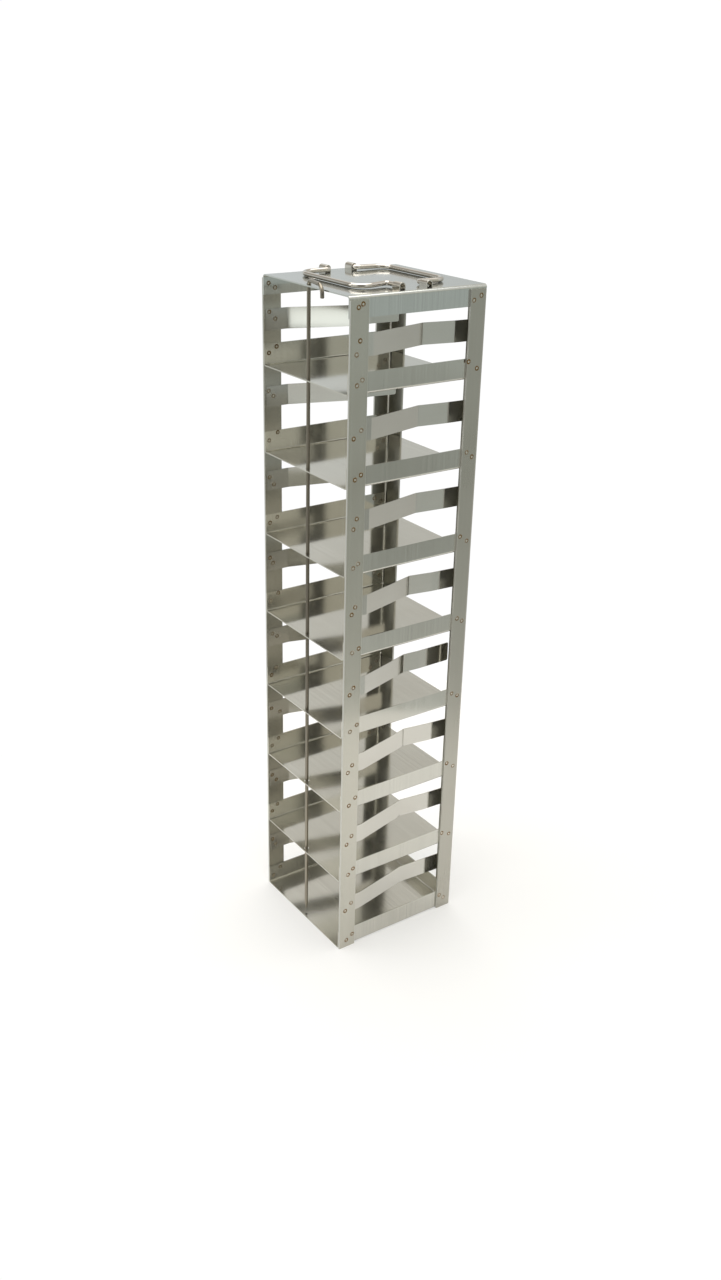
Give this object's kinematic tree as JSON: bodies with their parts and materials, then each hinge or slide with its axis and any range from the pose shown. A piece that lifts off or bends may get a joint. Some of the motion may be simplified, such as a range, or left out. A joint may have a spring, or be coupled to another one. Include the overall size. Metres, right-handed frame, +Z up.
{
  "type": "vertical freezer rack",
  "caption": "Tall open stainless steel rack of folded shelves that holds freezer boxes one above another, with a lift-out locking rod at the front and fold-up carrying handles.",
  "frame": {"origin": "bottom centre, on the underside of the bottom tray, midway between the outer faces of the posts and midway between the front edge and the rear face", "axes": "+Z up, -Y towards the open front with the locking rod, +X to the right as seen from the front"},
  "size_m": [0.1428, 0.1512, 0.6702],
  "materials": {
    "top_sheet": "fine brushed stainless sheet, glossy on top",
    "shelf_sheet": "semi-gloss stainless sheet with a fine diagonal grain",
    "post_steel": "satin stainless sheet, vertical grain, tan heat rings at the spot welds",
    "spring_steel": "bright rolled stainless strip",
    "polished_wire": "polished stainless wire",
    "loop_strap": "polished stainless strap",
    "rod_steel": "drawn stainless wire"
  },
  "bodies": {
    "rack": {"top_plate": "top_sheet", "shelf_1": "shelf_sheet", "shelf_2": "shelf_sheet", "shelf_3": "shelf_sheet", "shelf_4": "shelf_sheet", "shelf_5": "shelf_sheet", "shelf_6": "shelf_sheet", "shelf_7": "shelf_sheet", "bottom_plate": "shelf_sheet", "front_left_post": "post_steel", "front_right_post": "post_steel", "rear_left_post": "post_steel", "rear_right_post": "post_steel", "spring_strip_left_1": "spring_steel", "spring_strip_left_2": "spring_steel", "spring_strip_left_3": "spring_steel", "spring_strip_left_4": "spring_steel", "spring_strip_left_5": "spring_steel", "spring_strip_left_6": "spring_steel", "spring_strip_left_7": "spring_steel", "spring_strip_left_8": "spring_steel", "spring_strip_right_1": "spring_steel", "spring_strip_right_2": "spring_steel", "spring_strip_right_3": "spring_steel", "spring_strip_right_4": "spring_steel", "spring_strip_right_5": "spring_steel", "spring_strip_right_6": "spring_steel", "spring_strip_right_7": "spring_steel", "spring_strip_right_8": "spring_steel", "handle_loop_front_left": "loop_strap", "handle_loop_front_right": "loop_strap", "handle_loop_rear_left": "loop_strap", "handle_loop_rear_right": "loop_strap"},
    "front_handle": {"handle_front": "polished_wire"},
    "rear_handle": {"handle_rear": "polished_wire"},
    "rod": {"locking_rod": "rod_steel"}
  },
  "joints": [
    {"name": "front_handle_fold", "type": "hinge", "parent": "rack", "child": "front_handle", "pos_m": [0, -0.0145, 0.667], "axis": [-1, 0, 0], "range_deg": [0, 108]},
    {"name": "rear_handle_fold", "type": "hinge", "parent": "rack", "child": "rear_handle", "pos_m": [0, 0.0145, 0.667], "axis": [1, 0, 0], "range_deg": [0, 108]},
    {"name": "rod_lift", "type": "slide", "parent": "rack", "child": "rod", "axis": [0, 0, 1], "range_m": [0, 0.67]}
  ]
}
